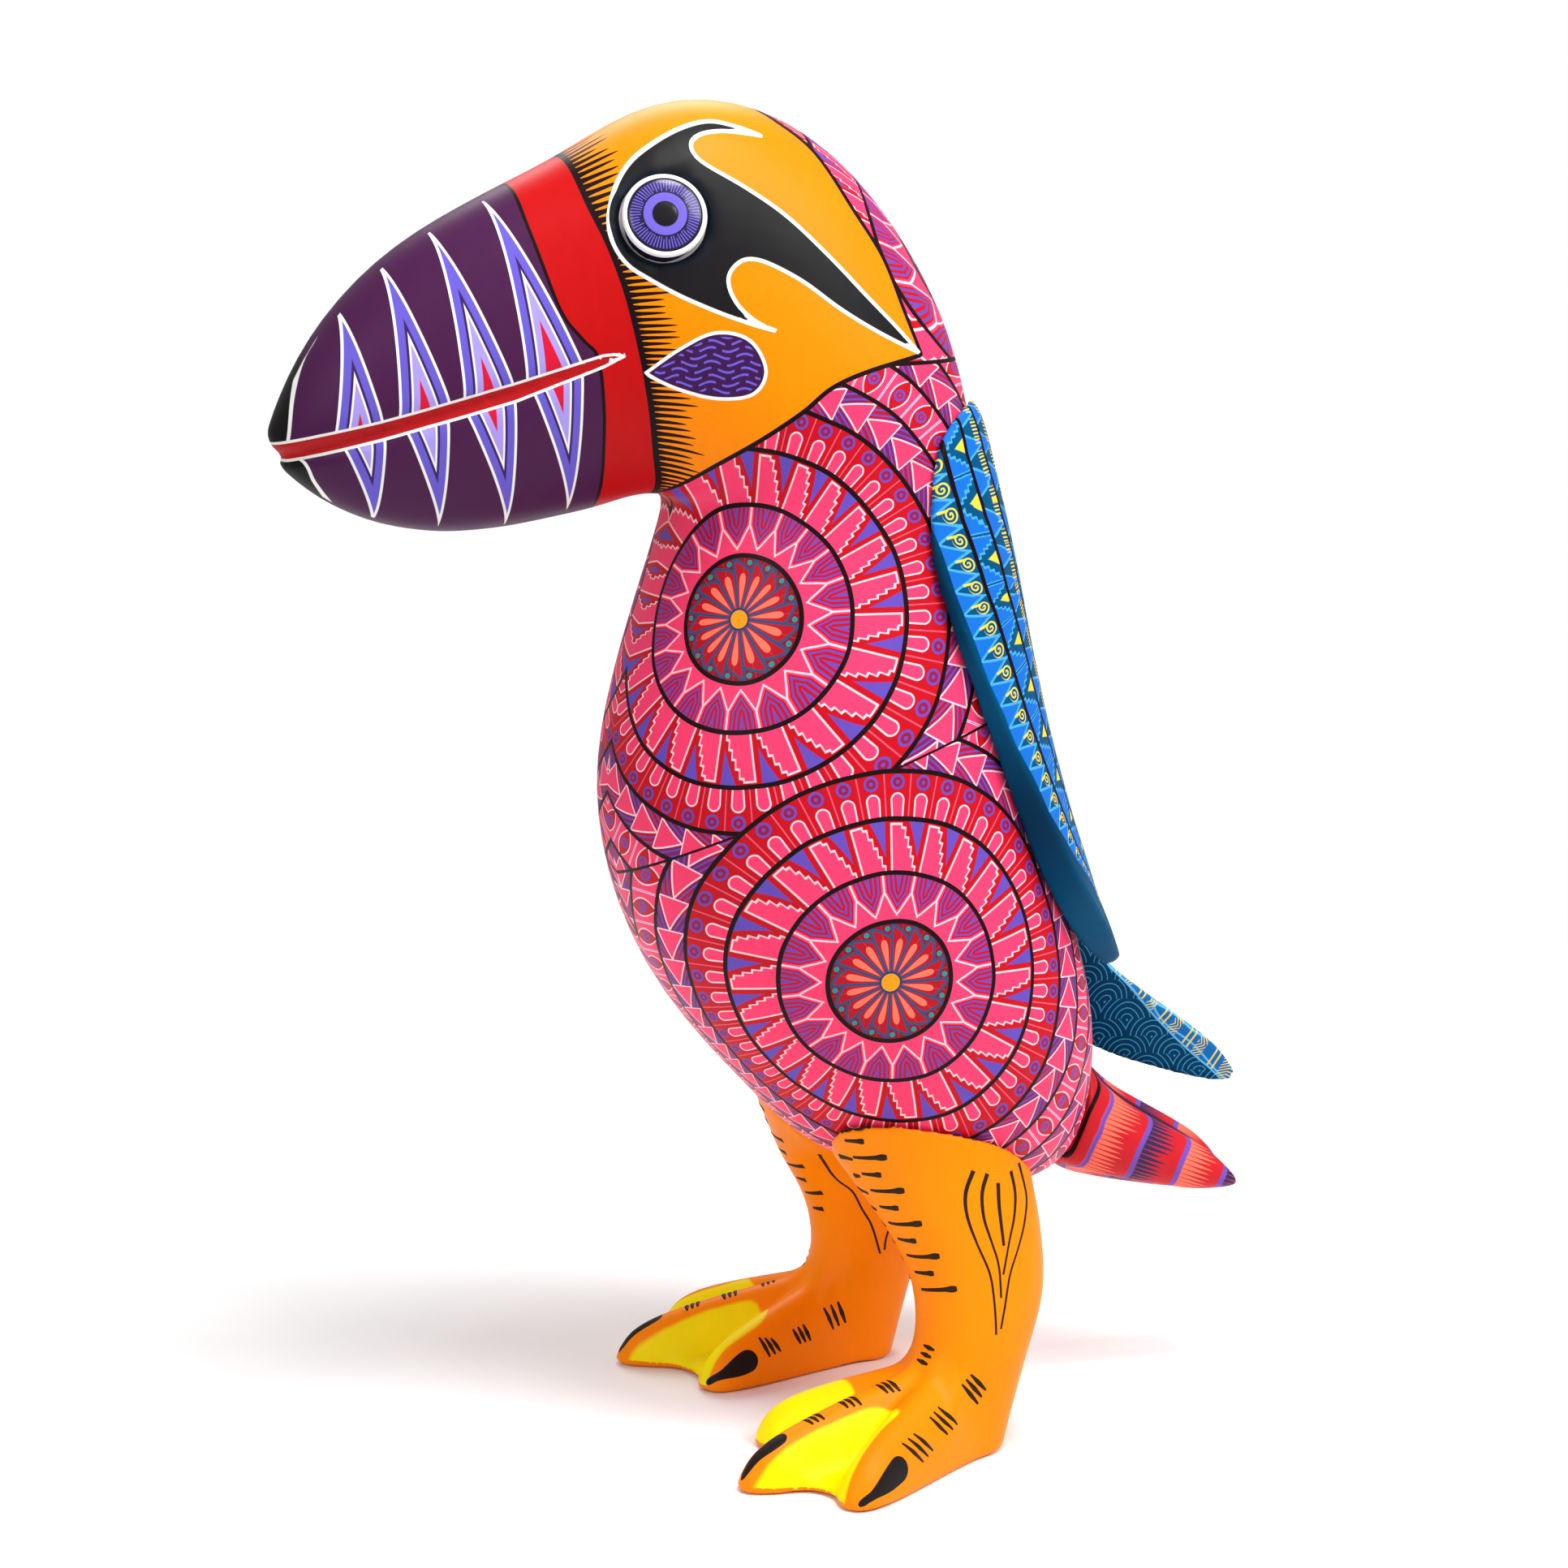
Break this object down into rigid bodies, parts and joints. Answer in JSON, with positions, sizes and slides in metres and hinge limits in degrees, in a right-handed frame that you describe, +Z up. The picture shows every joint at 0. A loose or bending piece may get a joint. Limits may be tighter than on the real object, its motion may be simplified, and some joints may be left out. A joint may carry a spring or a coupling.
{
  "type": "painted wooden bird figure",
  "caption": "Standing big-beaked bird figure carved in wood and painted all over, with folded wings, a lobed tail and flat webbed feet; a shelf ornament.",
  "frame": {"origin": "on the ground, under the middle of the whole figure's box, between the two feet", "axes": "+Z up, -Y where the beak points, +X towards the bird's own left side"},
  "size_m": [0.1338, 0.2378, 0.3],
  "materials": {
    "painted_block": "hand-painted acrylic, satin",
    "painted_wing": "hand-painted acrylic, satin",
    "painted_tail": "hand-painted acrylic, satin",
    "painted_leg": "hand-painted acrylic, satin",
    "painted_eye": "hand-painted acrylic, satin",
    "bare_dowel": "bare wood, glued"
  },
  "bodies": {
    "root": {"body_block": "painted_block", "left_wing": "painted_wing", "right_wing": "painted_wing", "tail": "painted_tail", "left_leg": "painted_leg", "right_leg": "painted_leg", "left_eye": "painted_eye", "right_eye": "painted_eye", "left_leg_dowel": "bare_dowel", "right_leg_dowel": "bare_dowel", "left_wing_dowel_upper": "bare_dowel", "left_wing_dowel_lower": "bare_dowel", "right_wing_dowel_upper": "bare_dowel", "right_wing_dowel_lower": "bare_dowel", "tail_dowel": "bare_dowel"}
  },
  "joints": []
}
